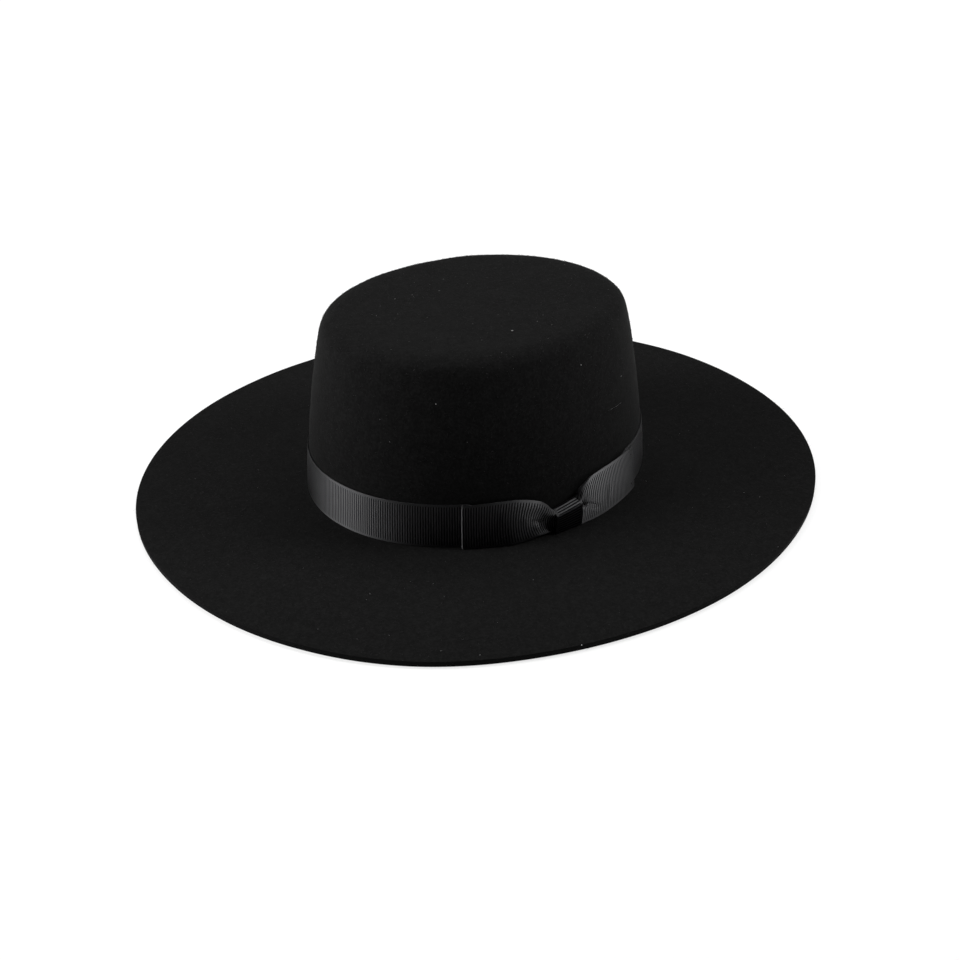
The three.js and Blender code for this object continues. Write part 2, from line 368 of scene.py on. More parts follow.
def uneven_felt(points):
    """The felt's points with its small unevenness, which takes no point below the ground."""
    radial = points[:, :2] - HEAD_CENTRE
    distance = np.linalg.norm(radial, axis=1)
    direction = radial / np.maximum(distance, 1)[:, None]
    height = points[:, 2]
    wall = waves(points, CROWN_WAVES)
    over_band = smooth_step(BAND_TOP, BAND_TOP + UNEVEN_OVER_BAND, height)
    off_axis = smooth_step(*UNEVEN_OFF_AXIS, distance)
    out = points.copy()
    out[:, :2] += direction * (over_band * off_axis * CROWN_UNEVEN * wall)[:, None]
    out[:, :2] += np.clip(points[:, 2:] / CROWN_HEIGHT, 0, 1) ** 2 * TOP_SHIFT
    out[:, 2] += smooth_step(WALL_TOP, CROWN_HEIGHT, height) * CROWN_UNEVEN * wall
    starts, full = UNEVEN_OFF_HEAD
    on_brim = smooth_step(HEAD_HALF[1] + starts, HEAD_HALF[1] + full, distance) * (height < FELT + 1)
    wave = waves(points * [1, 1, 0], BRIM_WAVES)
    out[:, 2] += on_brim * BRIM_UNEVEN * np.clip(wave + BRIM_RISE, 0, None)
    return out


def build_felt():
    rings = felt_rings()
    count, segments = rings.shape[:2]
    centres = np.array([[*HEAD_CENTRE, CROWN_TOP - FELT], [*HEAD_CENTRE, CROWN_TOP]])
    points = np.concatenate([rings.reshape(-1, 3), centres])
    faces = grid_faces(count, segments).tolist()
    inner_centre, outer_centre = len(points) - 2, len(points) - 1
    last_ring = (count - 1) * segments
    for i in range(segments):
        j = (i + 1) % segments
        faces.append([inner_centre, j, i])
        faces.append([outer_centre, last_ring + i, last_ring + j])
    felt = mesh_object("felt", uneven_felt(points), faces)
    # A mask of the brim's cut edge between its two faces, where the felt material paints shade.
    far_out = np.hypot(*(points[:, :2] - HEAD_CENTRE).T) > HEAD_HALF[1] + CUT_BEYOND
    shaded_cut_edge = far_out & (points[:, 2] > CUT_MARGIN) & (points[:, 2] < FELT - CUT_MARGIN)
    add_point_values(felt, "shaded_cut_edge", shaded_cut_edge)
    return felt


# Hairs, tufts and dust on the felt

CROWN_HAIRS = 9000
BRIM_HAIRS = 12000
CROWN_TUFTS = 1100
BRIM_TUFTS = 1000
# on_walls: how many there are on upright felt for each one on level felt of the same area.
HAIR = dict(on_walls=0.35, long=(0.9, 2.6), thick=(0.035, 0.06))
TUFT = dict(on_walls=0.12, long=(0.5, 1.4), thick=(0.07, 0.14))
HAIR_TAPER = np.array([1.0, 0.85, 0.35])
HAIR_ROOT = 0.06
HAIR_CLEAR = 0.08
HAIR_BEND = 0.6
# How much a hair rises to its middle, and how much of that again to its tip.
HAIR_LIFT = (0.05, 0.5)
TIP_LIFT = (-0.1, 0.7)
HAIR_LOWEST = 0.1
TUBE_SIDES = 3
# The upward part of a normal, from upright felt to level felt, and from where a face looks up.
UPRIGHT_TO_LEVEL = (0.2, 0.8)
LOOKS_UP = 0.3
ABOVE_GROUND = 0.6

LINT_EACH = 55
LINT_ON_WALLS = 0.12
LINT_SIDES = 6
LINT_WIDE = (0.1, 0.2)
# Shares of a speck's half width, and of the turn between two of its points
LINT_TURN = (-0.3, 0.3)
LINT_REACH = (0.55, 1.25)
LINT_LIFT = (0.1, 0.5)
LINT_TOP = (0.5, 0.9)
LINT_ROOT = 0.1

# Dust that shows in the photograph: its pixel and its half width in millimetres.
SEEN_LINT = [
    (512, 331, 0.62), (581, 365, 0.4), (480, 655, 0.3), (646, 481, 0.3),
    (621, 376, 0.28), (439, 291, 0.45), (395, 299, 0.42), (436, 404, 0.28),
    (581.5, 645, 0.3), (370, 594, 0.28), (473, 324, 0.24), (427, 318, 0.22),
    (543, 315, 0.24), (433, 584, 0.22), (533, 580, 0.26), (441, 651, 0.26),
]
# One long hair that shows there: the pixels that it runs through, and its half thickness.
SEEN_HAIR = [(607, 412), (612, 408.5), (617, 406), (622, 402)]
SEEN_HAIR_THICK = np.array([0.012, 0.02, 0.02, 0.012])
SEEN_HAIR_OFF = 0.1


def outer_skin(mesh):
    """Centre and normal of each face, and its area, or 0 where the face isn't on the outer skin."""
    count = len(mesh.polygons)
    centre, normal = np.empty((count, 3)), np.empty((count, 3))
    area, sides = np.empty(count), np.empty(count, int)
    mesh.polygons.foreach_get("center", centre.ravel())
    mesh.polygons.foreach_get("normal", normal.ravel())
    mesh.polygons.foreach_get("area", area)
    mesh.polygons.foreach_get("loop_total", sides)
    centre /= MM
    height, upward = centre[:, 2], normal[:, 2]
    outward = ((centre[:, :2] - HEAD_CENTRE) * normal[:, :2]).sum(1)
    behind_band = (height > FELT) & (height < BAND_TOP + 1) & (upward < UPRIGHT_TO_LEVEL[1])
    outside = ((upward > LOOKS_UP) | (outward > 0)) & (height > ABOVE_GROUND)
    return centre, normal, area * (outside & (sides == 4) & ~behind_band)


def felt_places(felt, on_crown_part, count, on_walls):
    """Random places on the outer skin of the crown or the brim, with the normal at each."""
    mesh = felt.data
    centre, normal, weight = outer_skin(mesh)
    weight = weight * ((centre[:, 2] > BAND_BOTTOM + 1) == on_crown_part)
    weight = weight * (on_walls + (1 - on_walls) * smooth_step(*UPRIGHT_TO_LEVEL, normal[:, 2]))
    picked = RANDOM.choice(len(weight), count, p=weight / weight.sum())
    corners = np.array([mesh.polygons[i].vertices[:] for i in picked])
    points = np.empty(len(mesh.vertices) * 3)
    mesh.vertices.foreach_get("co", points)
    quad = points.reshape(-1, 3)[corners] / MM
    u, v = RANDOM.random((2, count, 1))
    one_side = quad[:, 0] * (1 - u) + quad[:, 1] * u
    other_side = quad[:, 3] * (1 - u) + quad[:, 2] * u
    return one_side * (1 - v) + other_side * v, normal[picked]


def thin_tubes(rows, thick):
    """Closed tubes round lines [tube, point] of one length, with a half thickness at every point."""
    count, steps = rows.shape[:2]
    along = unit(np.gradient(rows, axis=1))
    # The first side may point anywhere across the tube, so it comes from the tube's own place.
    side = unit(np.cross(along, unit(rows[:, :1] * [0.3, -0.2, 0.1] + [0.2, 0.5, 1.0])))
    other = np.cross(along, side)
    turns = 2 * np.pi * np.arange(TUBE_SIDES) / TUBE_SIDES
    ring = np.cos(turns)[:, None] * side[:, :, None] + np.sin(turns)[:, None] * other[:, :, None]
    points = rows[:, :, None] + ring * thick[:, :, None, None]
    wall = grid_faces(steps, TUBE_SIDES)
    first = np.arange(TUBE_SIDES)[::-1]
    last = (steps - 1) * TUBE_SIDES + np.arange(TUBE_SIDES)
    faces = []
    for base in range(0, count * steps * TUBE_SIDES, steps * TUBE_SIDES):
        faces += (wall + base).tolist()
        faces.append((first + base).tolist())
        faces.append((last + base).tolist())
    return points.reshape(-1, 3), faces


def build_hairs(name, felt, on_crown_part, count, kind):
    """Short hairs that lie on the felt or stand off it a little, rooted in its skin."""
    root, normal = felt_places(felt, on_crown_part, count, kind["on_walls"])
    way = unit(np.cross(normal, RANDOM.normal(size=(count, 3))))
    bent = unit(way + HAIR_BEND * unit(np.cross(normal, way)) * RANDOM.normal(size=(count, 1)))
    long = RANDOM.uniform(*kind["long"], (count, 1))
    lift = RANDOM.uniform(*HAIR_LIFT, (count, 1)) ** 1.6
    start = root - HAIR_ROOT * normal
    middle = start + long * (0.5 * way + 0.55 * lift * normal) + HAIR_CLEAR * normal
    tip = middle + long * (0.5 * bent + RANDOM.uniform(*TIP_LIFT, (count, 1)) * lift * normal)
    tip[:, 2] = np.maximum(tip[:, 2], HAIR_LOWEST)
    thick = RANDOM.uniform(*kind["thick"], (count, 1)) * HAIR_TAPER
    return mesh_object(name, *thin_tubes(np.stack([start, middle, tip], 1), thick))


def crumb(spot, up, wide):
    """An uneven ring of points between one point in the felt and one on top."""
    side = unit(np.cross(up, RANDOM.normal(size=3)))
    turn = 2 * np.pi * (np.arange(LINT_SIDES) + RANDOM.uniform(*LINT_TURN, LINT_SIDES)) / LINT_SIDES
    reach = wide * RANDOM.uniform(*LINT_REACH, LINT_SIDES)
    ring = np.cos(turn)[:, None] * side + np.sin(turn)[:, None] * np.cross(up, side)
    lift = RANDOM.uniform(*LINT_LIFT, LINT_SIDES)[:, None] * wide * up
    ends = [spot - LINT_ROOT * wide * up, spot + wide * RANDOM.uniform(*LINT_TOP) * up]
    faces = []
    for k in range(LINT_SIDES):
        after = (k + 1) % LINT_SIDES
        faces += [[LINT_SIDES, after, k], [LINT_SIDES + 1, k, after]]
    return np.concatenate([spot + ring * reach[:, None] + lift, ends]), faces


def join_parts(parts):
    """One set of points and faces from several."""
    points, faces, base = [], [], 0
    for its_points, its_faces in parts:
        points.append(its_points)
        faces += [[i + base for i in face] for face in its_faces]
        base += len(its_points)
    return np.concatenate(points), faces


def build_lint(felt):
    """Specks of dust: small uneven crumbs that sit in the nap, and one long hair."""
    tree = surface_tree(felt)
    place, normal = felt_places(felt, True, LINT_EACH, LINT_ON_WALLS)
    other, its_normal = felt_places(felt, False, LINT_EACH, LINT_ON_WALLS)
    half = RANDOM.uniform(*LINT_WIDE, 2 * LINT_EACH)
    specks = list(zip([*place, *other], [*normal, *its_normal], half))
    specks += [(*surface_at(tree, x, y), wide) for x, y, wide in SEEN_LINT]
    crumbs = [crumb(*speck) for speck in specks]
    under_hair = [surface_at(tree, x, y) for x, y in SEEN_HAIR]
    line = np.array([spot + SEEN_HAIR_OFF * up for spot, up in under_hair])
    hair = thin_tubes(line[None], SEEN_HAIR_THICK[None])
    return mesh_object("lint", *join_parts([*crumbs, hair]))


# Ribbon with ribs

# Places of the columns within one rib, closer together at the groove.
RIB_PLACES = np.array([0.0, 0.1, 0.3, 0.5, 0.7, 0.9])
# Rows of a selvedge, as shares of its width, and rows of points on the ribbon's back
SELVEDGE_ROWS = np.array([0, 0.12, 0.4, 0.8, 1.0, 1.3])
INNER_ROWS = 5
# A groove is darkest up to the first place from a rib's side and ends at the second.
GROOVE = (0.08, 0.45)
SELVEDGE_DULL = 0.4
SELVEDGE_HEIGHT = 0.6 * RIB_HEIGHT
# Where the ribs start and where the edge is rounded, as shares of the selvedge's width
RIBS_START = (0.8, 1.25)
EDGE_ROUNDED = 0.4
RIB_POWER = 2.2


def rib_shape(share):
    """Height of a rounded rib: 0 in the groove, 1 on the rib's back, along one pitch."""
    return 1 - np.abs(2 * share - 1) ** RIB_POWER


def ribbon_shares(middle_rows, width):
    """Places across a ribbon's width, closer together in the two smooth selvedges."""
    edge = SELVEDGE_ROWS * SELVEDGE / width
    middle = np.linspace(edge[-1], 1 - edge[-1], middle_rows + 2)[1:-1]
    return np.concatenate([edge, middle, 1 - edge[::-1]])


def edge_distance(shares, width):
    return np.minimum(shares, 1 - shares) * width


def ribbed_part(shares, width):
    """1 where the ribbon is ribbed, 0 in its selvedges."""
    starts, full = RIBS_START
    return smooth_step(SELVEDGE * starts, SELVEDGE * full, edge_distance(shares, width))


def ribbon_relief(shares, rib_place, width):
    """How far the front stands off the plain ribbon: ribs, between two smooth selvedges."""
    ribbed = ribbed_part(shares, width)
    to_edge = edge_distance(shares, width) / (SELVEDGE * EDGE_ROUNDED)
    rounded = np.sqrt(np.clip(1 - (1 - np.clip(to_edge, 0, 1)) ** 2, 0, 1))
    rib = RIB_HEIGHT * rib_shape(rib_place)
    return (rib[:, None] * ribbed + SELVEDGE_HEIGHT * (1 - ribbed)) * rounded


def groove_depth(shares, rib_place, width):
    """How deep a place lies between two ribs: 1 in the groove, 0 on a rib's back."""
    ribbed = ribbed_part(shares, width)
    groove = 1 - smooth_step(*GROOVE, np.minimum(rib_place, 1 - rib_place))
    return groove[:, None] * ribbed + SELVEDGE_DULL * (1 - ribbed)


def surface_normals(grid):
    """Unit normals of a grid of points [along, across] that is closed along."""
    along = np.roll(grid, -1, 0) - np.roll(grid, 1, 0)
    normal = np.cross(along, np.gradient(grid, axis=1))
    return normal / np.maximum(np.linalg.norm(normal, axis=2), 1e-9)[..., None]


def rib_columns(length):
    """Places along a closed ribbon of that length, and each one's place within its rib."""
    ribs = round(length / RIB_PITCH)
    place = (np.arange(ribs)[:, None] + RIB_PLACES[None, :]).ravel() / ribs * length
    return place, np.tile(RIB_PLACES, ribs)


def ribbon_mesh(name, grid, shares, place, rib_place, width):
    """A closed loop of ribbed ribbon round a grid of its middle surface [along, across]."""
    normal = surface_normals(grid)
    front = grid + normal * (RIBBON / 2 + ribbon_relief(shares, rib_place, width))[..., None]
    kept = np.unique(np.round(np.linspace(0, len(shares) - 1, INNER_ROWS)).astype(int))[::-1]
    back = (grid - normal * RIBBON / 2)[:, kept]
    section = np.concatenate([front, back], axis=1)
    count, around = section.shape[:2]
    faces = grid_faces(count, around, wrap_rows=True).tolist()
    obj = mesh_object(name, section.reshape(-1, 3), faces)
    across = np.concatenate([shares, shares[kept]])
    add_weave_map(obj, across * width, place)
    add_point_values(obj, "groove", groove_depth(across, rib_place, width))
    return obj


def add_weave_map(obj, across, along):
    """A map whose first axis lies along the ribs and second along the ribbon, for the sheen."""
    mesh = obj.data
    corner = np.empty(len(mesh.loops), int)
    mesh.loops.foreach_get("vertex_index", corner)
    u, v = across[corner % len(across)], along[corner // len(across)]
    # The quads that close the loop go on past its end.
    loop_length = along[-1] + along[1] - along[0]
    first = np.repeat(v[::4], 4)
    v = np.where(v < first - loop_length / 2, v + loop_length, v)
    uv = np.stack([u, v], 1) * MM
    mesh.uv_layers.new(name="weave").uv.foreach_set("vector", uv.astype(np.float32).ravel())


# Shape of the bow

LEVELS = np.array([0, 0.16, 0.42, 0.62, 0.86, 1.0])

# The front layer, from the lobe at the wearer's front to the other. along: distance from the
# knot's middle. bottom, top: heights of the edges. off: how far the outer face stands off the
# crown at each of LEVELS, bottom to top. low, high: how far the ribs' ends bend to the knot.
FRONT = [
    dict(along=-61.0, bottom=3.3, top=28.5, off=(3.1, 3.1, 3.2, 3.1, 2.8, 2.5), low=0.0, high=0.0),
    dict(along=-54.0, bottom=3.3, top=28.6, off=(3.3, 3.3, 3.3, 3.2, 2.9, 2.6), low=0.2, high=0.3),
    dict(along=-45.0, bottom=3.3, top=28.8, off=(3.8, 3.8, 3.8, 3.6, 3.2, 2.6), low=0.6, high=1.0),
    dict(along=-36.0, bottom=3.7, top=28.6, off=(5.0, 5.0, 4.9, 4.6, 3.8, 2.7), low=1.3, high=2.0),
    dict(along=-28.0, bottom=4.1, top=27.0, off=(4.5, 4.2, 4.5, 4.8, 4.7, 3.0), low=2.2, high=3.2),
    dict(along=-22.0, bottom=4.6, top=24.6, off=(4.0, 3.2, 3.3, 4.3, 5.2, 3.5), low=2.9, high=4.0),
    dict(along=-18.5, bottom=4.5, top=22.3, off=(3.6, 2.7, 2.4, 3.6, 5.1, 4.0), low=2.8, high=3.8),
    dict(along=-15.0, bottom=4.5, top=19.5, off=(3.3, 2.4, 2.2, 3.1, 4.9, 4.2), low=1.8, high=2.6),
    dict(along=-12.0, bottom=4.4, top=18.0, off=(3.0, 2.4, 2.2, 2.9, 4.8, 4.3), low=0.9, high=1.2),
    dict(along=-9.5, bottom=4.4, top=16.3, off=(2.9, 2.8, 2.8, 3.0, 4.5, 4.2), low=0.4, high=0.5),
    dict(along=-7.5, bottom=4.5, top=15.6, off=(3.6, 3.6, 3.6, 3.7, 3.9, 3.8), low=0.0, high=0.0),
    dict(along=4.8, bottom=4.5, top=15.8, off=(3.7, 3.6, 3.6, 3.6, 3.9, 3.8), low=0.0, high=0.0),
    dict(along=6.4, bottom=3.9, top=21.0, off=(4.6, 4.4, 3.2, 3.5, 5.0, 4.3), low=0.6, high=0.4),
    dict(along=8.2, bottom=3.5, top=24.0, off=(4.7, 4.6, 3.8, 4.1, 5.2, 4.4), low=1.6, high=1.2),
    dict(along=12.0, bottom=3.4, top=26.2, off=(4.9, 4.8, 4.5, 4.6, 4.9, 4.2), low=2.4, high=1.8),
    dict(along=20.0, bottom=3.3, top=28.8, off=(5.0, 4.8, 4.6, 4.4, 3.8, 3.1), low=2.0, high=1.4),
    dict(along=28.0, bottom=3.3, top=29.2, off=(4.7, 4.5, 4.3, 4.0, 3.4, 2.7), low=1.2, high=0.8),
    dict(along=37.0, bottom=3.3, top=29.3, off=(4.3, 4.1, 3.9, 3.7, 3.2, 2.6), low=0.6, high=0.4),
    dict(along=47.0, bottom=3.3, top=29.3, off=(3.9, 3.8, 3.6, 3.5, 3.1, 2.6), low=0.3, high=0.2),
    dict(along=54.5, bottom=3.3, top=29.2, off=(3.6, 3.5, 3.4, 3.3, 3.0, 2.6), low=0.0, high=0.0),
    dict(along=57.5, bottom=3.3, top=29.1, off=(3.4, 3.3, 3.2, 3.1, 2.9, 2.5), low=0.0, high=0.0),
]
BOW_START = FRONT[0]["along"]
BOW_END = FRONT[-1]["along"]

# How far the outer face of the back layer stands off the crown.
BACK = [
    dict(along=-61.0, off=1.35),
    dict(along=-12.5, off=1.35),
    dict(along=-8.6, off=2.2),
    dict(along=4.6, off=2.2),
    dict(along=7.6, off=1.4),
    dict(along=12.5, off=1.35),
    dict(along=57.5, off=1.6),
]
# The back layer's top edge is this much lower than the front's, from so far in from the folds.
BACK_DROP = 2.0
BACK_DROP_FROM = 12.0

BOW_DENT = dict(along=29.5, z=14.5, depth=0.5, long=1.7, high=4.0)
# A crease that runs down from the knot across the lobe at the wearer's back.
CREASE = dict(starts=5.0, along=8.5, z=14.2, fall=0.45, depth=1.6, high=1.3, fades=(13.0, 24.0))
BOW_STEPS = 360
BOW_ROWS = 18
FOLD_STEPS = 9


# Band

BAND_ROWS = 4
# The top edge wanders up and down by BAND_DRIFT, and where the noise is over -BAND_SLACK it
# stands off the felt by up to BAND_LOOSE.
BAND_DRIFT = dict(size=60, seed=11, by=0.18)
BAND_LOOSE = dict(size=45, seed=12, by=0.25)
BAND_SLACK = 0.1
NOISE_RADIUS = 100
# Under the bow the top edge keeps this far below the bow's, and by BACK_DROP more once it is
# past these two places in from the bow's ends.
BAND_UNDER_BOW = 0.3
BAND_HIDDEN = (1, 9)


def band_top(along):
    """Height of the band's top edge: level, but gathered with the bow under the knot."""
    bow_top = read_column(FRONT, "top", np.clip(along, BOW_START, BOW_END))
    starts, full = BAND_HIDDEN
    behind = smooth_step(BOW_START + starts, BOW_START + full, along)
    behind *= 1 - smooth_step(BOW_END - full, BOW_END - starts, along)
    return np.minimum(BAND_TOP, bow_top - BAND_UNDER_BOW - BACK_DROP * behind)


def build_band():
    middle_off = BAND_OFF + RIBBON / 2
    angle, length = crown_arc((BAND_BOTTOM + BAND_TOP) / 2, middle_off)
    place, rib_place = rib_columns(length[-1])
    angles = np.interp(place, length, angle)
    shares = ribbon_shares(BAND_ROWS, BAND_WIDTH)
    ring = np.stack([np.cos(angles), np.sin(angles), np.zeros(len(angles))], 1) * NOISE_RADIUS
    drift = soft_noise(ring, BAND_DRIFT["size"], BAND_DRIFT["seed"]) * BAND_DRIFT["by"]
    slack = soft_noise(ring, BAND_LOOSE["size"], BAND_LOOSE["seed"])
    loose = np.clip(slack + BAND_SLACK, 0, 1) * BAND_LOOSE["by"]
    turned = (angles - BOW_MIDDLE + np.pi) % (2 * np.pi) - np.pi
    top = band_top(turned * BOW_MM_PER_RADIAN) + drift
    z = BAND_BOTTOM + (top - BAND_BOTTOM)[:, None] * shares
    off = middle_off + loose[:, None] * shares ** 3
    x, y = crown_point(wall_lean(z), off, angles[:, None])
    return ribbon_mesh("band", np.stack([x, y, z], 2), shares, place, rib_place, BAND_WIDTH)


# Bow

def dent_depth(along, height):
    sideways = (along - BOW_DENT["along"]) / BOW_DENT["long"]
    upward = (height - BOW_DENT["z"]) / BOW_DENT["high"]
    return BOW_DENT["depth"] * np.exp(-(sideways ** 2) - upward ** 2)


def crease_depth(along, height):
    above = height - (CREASE["z"] - CREASE["fall"] * (along - CREASE["along"]))
    there = smooth_step(CREASE["starts"], CREASE["along"], along)
    there = there * (1 - smooth_step(*CREASE["fades"], along))
    return CREASE["depth"] * there * np.exp(-((above / CREASE["high"]) ** 2))


def fold(start, end, side):
    """A half round from one layer to the other at an end of the bow."""
    middle = (start + end) / 2
    reach = np.abs(start[:, 1] - end[:, 1]) / 2
    rows = []
    for turn in np.linspace(0, np.pi, FOLD_STEPS + 2)[1:-1]:
        row = middle + (start - middle) * math.cos(turn)
        row[:, 0] += side * reach * math.sin(turn)
        rows.append(row)
    return np.stack(rows)


def bow_path(shares):
    """The bow's middle surface as a closed path [step, across] of (along, stand-off, height)."""
    steps = np.linspace(BOW_START, BOW_END, BOW_STEPS)
    along = steps[:, None]
    bottom, top, low, high = (
        read_column(FRONT, name, steps)[:, None] for name in ("bottom", "top", "low", "high")
    )
    height = bottom + (top - bottom) * shares
    toward_knot = -np.sign(along) * np.where(shares < 0.5, low, high) * (2 * shares - 1) ** 2
    off = smooth_curve(LEVELS, read_column(FRONT, "off", steps).T, shares) - RIBBON / 2
    off -= dent_depth(along, height)
    off -= crease_depth(along, height)
    front = np.stack([along + toward_knot, off, height], 2)

    back_off = read_column(BACK, "off", steps)[:, None] - RIBBON / 2
    from_end = np.minimum(along - BOW_START, BOW_END - along)
    drop = BACK_DROP * smooth_step(0, BACK_DROP_FROM, from_end) * shares
    back = np.stack(np.broadcast_arrays(along, back_off, height - drop), 2)[::-1]

    end_fold = fold(front[-1], back[0], 1)
    start_fold = fold(back[-1], front[0], -1)
    return np.concatenate([front, end_fold, back[1:-1], start_fold])


def build_bow():
    shares = ribbon_shares(BOW_ROWS, BAND_WIDTH)
    path = bow_path(shares)
    path = np.concatenate([path, path[:1]])
    length = path_length(path[:, path.shape[1] // 2, :2])
    place, rib_place = rib_columns(length[-1])
    lines = path.reshape(len(path), -1).T
    even = np.stack([np.interp(place, length, line) for line in lines], 1)
    even = even.reshape(len(place), -1, 3)
    grid = on_crown(even[..., 0], even[..., 1], even[..., 2])
    return ribbon_mesh("bow_loops", grid, shares, place, rib_place, BAND_WIDTH)


# Knot

KNOT_SHIFT = -1.4
# Corners of the wrap's middle line as (stand-off, height, radius): down the face, under and
# behind the bow and back over its sloping top.
KNOT_CORNERS = [
    (5.9, 14.8, 0.7),
    (4.9, 3.65, 0.8),
    (1.3, 3.65, 0.5),
    (1.3, 17.6, 0.4),
    (2.5, 17.6, 0.5),
]
# The wrap is taller on the wearer's back side: this much for each millimetre, from here.
KNOT_RISE = 0.2
KNOT_LEVEL_AT = -6.6
KNOT_ROWS = 8
BEND_STEPS = 10


def knot_path():
    """The wrap's middle line as rows (stand-off, height)."""
    corners = [np.array(corner[:2]) for corner in KNOT_CORNERS]
    rows = []
    for k, corner in enumerate(corners):
        radius = KNOT_CORNERS[k][2]
        before = unit(corner - corners[k - 1])
        after = unit(corners[(k + 1) % len(corners)] - corner)
        half_turn = math.acos(np.clip(before @ after, -1, 1)) / 2
        tangent = radius * math.tan(half_turn)
        centre = corner + unit(after - before) * radius / math.cos(half_turn)
        first = corner - before * tangent - centre
        last = corner + after * tangent - centre
        turn = 2 * half_turn
        for share in np.linspace(0, 1, BEND_STEPS):
            of_first, of_last = math.sin((1 - share) * turn), math.sin(share * turn)
            rows.append(centre + (first * of_first + last * of_last) / math.sin(turn))
    rows.append(rows[0])
    return np.array(rows)


def build_knot():
    """A short ribbon wrapped round the bow's waist."""
    path = knot_path()
    length = path_length(path)
    place, rib_place = rib_columns(length[-1])
    off, z = (np.interp(place, length, line)[:, None] for line in path.T)
    shares = ribbon_shares(KNOT_ROWS, KNOT_WIDTH)
    along = KNOT_SHIFT + (shares[None, :] - 0.5) * KNOT_WIDTH
    lowest, highest = z.min(), z.max()
    z = z + KNOT_RISE * (along - KNOT_LEVEL_AT) * (z - lowest) / (highest - lowest)
    return ribbon_mesh("bow_keeper", on_crown(along, off, z), shares, place, rib_place, KNOT_WIDTH)


# Stitches

# They tack down the end of the lobe at the wearer's back: the pixels of their ends.
STITCHES = [
    ((628.2, 447.6), (629.2, 449.6)),
    ((629.6, 452.4), (630.4, 454.6)),
    ((631.2, 482.8), (632.0, 485.2)),
]
STITCH_HALF = 0.35
# How far the thread stands off the ribbon at shares of its length; its ends are inside.
STITCH_LIFTS = [(0, -0.15), (0.2, 0.12), (0.8, 0.12), (1, -0.15)]


def build_stitches(bow):
    tree = surface_tree(bow)
    threads = []
    for (x0, y0), (x1, y1) in STITCHES:
        line = []
        for share, lift in STITCH_LIFTS:
            spot, normal = surface_at(tree, x0 + (x1 - x0) * share, y0 + (y1 - y0) * share)
            line.append(spot + lift * normal)
        threads.append(thin_tubes(np.array(line)[None], np.full((1, len(line)), STITCH_HALF)))
    return mesh_object("bow_stitches", *join_parts(threads))


# Materials

MIX_COLOUR_A = 6
MIX_COLOUR_B = 7
MIX_COLOUR_RESULT = 2


class Nodes:
    """A small helper that adds and links shader nodes."""

    def __init__(self, name):
        self.material = bpy.data.materials.new(name)
        self.material.use_nodes = True
        self.tree = self.material.node_tree
        self.shader = self.tree.nodes["Principled BSDF"]

    def add(self, kind, **values):
        node = self.tree.nodes.new(kind)
        for key, value in values.items():
            if key in node.bl_rna.properties:
                setattr(node, key, value)
            else:
                node.inputs[key].default_value = value
        return node

    def link(self, output, target):
        self.tree.links.new(output, target)

    def set_shader(self, values):
        for name, value in values.items():
            self.shader.inputs[name].default_value = value

    def link_shader(self, name, output):
        self.link(output, self.shader.inputs[name])

    def place(self):
        return self.add("ShaderNodeTexCoord").outputs["Object"]

    def attribute(self, name):
        return self.add("ShaderNodeAttribute", attribute_name=name).outputs["Fac"]

    def texture(self, scale, detail, rough=0.5, squeeze=None):
        node = self.add("ShaderNodeTexNoise", Scale=scale, Detail=detail, Roughness=rough)
        place = self.place()
        if squeeze is not None:
            mapping = self.add("ShaderNodeMapping", Scale=squeeze)
            self.link(place, mapping.inputs["Vector"])
            place = mapping.outputs["Vector"]
        self.link(place, node.inputs["Vector"])
        return node.outputs["Fac"]

    def ramp(self, fac, stops):
        node = self.add("ShaderNodeValToRGB")
        elements = node.color_ramp.elements
        while len(elements) < len(stops):
            elements.new(0.5)
        for element, (position, colour) in zip(elements, stops):
            element.position = position
            element.color = (*colour, 1)
        self.link(fac, node.inputs["Fac"])
        return node.outputs["Color"]

    def map_range(self, value, source, target, kind="LINEAR"):
        node = self.add("ShaderNodeMapRange", interpolation_type=kind)
        for name, limit in zip(("From Min", "From Max", "To Min", "To Max"), (*source, *target)):
            node.inputs[name].default_value = limit
        self.link(value, node.inputs["Value"])
        return node.outputs["Result"]

    def weighted(self, value, weight, other):
        node = self.add("ShaderNodeMath", operation="MULTIPLY_ADD")
        self.link(value, node.inputs[0])
        node.inputs[1].default_value = weight
        self.link(other, node.inputs[2])
        return node.outputs[0]

    def mix(self, share, first, second):
        node = self.add("ShaderNodeMix", data_type="FLOAT", Factor=share)
        self.link(first, node.inputs["A"])
        self.link(second, node.inputs["B"])
        return node.outputs["Result"]

    def mix_toward(self, share, first, colour):
        """A linked colour, mixed by a linked share with a fixed one."""
        node = self.add("ShaderNodeMix", data_type="RGBA")
        self.link(share, node.inputs["Factor"])
        self.link(first, node.inputs[MIX_COLOUR_A])
        node.inputs[MIX_COLOUR_B].default_value = (*colour, 1)
        return node.outputs[MIX_COLOUR_RESULT]

    def bump(self, height, distance, strength, normal=None):
        node = self.add("ShaderNodeBump", Strength=strength, Distance=distance)
        self.link(height, node.inputs["Height"])
        if normal is not None:
            self.link(normal, node.inputs["Normal"])
        return node.outputs["Normal"]


def grey(value):
    return (value, value, value)


FELT_TONES = [(0.444, grey(0.003)), (0.549, grey(0.0046)), (0.666, grey(0.0072))]
# Painted shade: the brim's cut edge is mixed toward this darker grey.
CUT_EDGE_PAINTED_SHADE = grey(0.0022)
SPECKLE_SHARE = 0.35
MOTTLE_SHARE = 0.35
CLOUD_WEIGHT = 0.15
RIBBON_TONES = [(0.3, (0.0007, 0.0007, 0.0008)), (0.7, (0.0012, 0.0012, 0.0014))]
# How much the ribbon shines on a rib's back and in a groove.
RIB_SHINE = (1.0, 0.02)


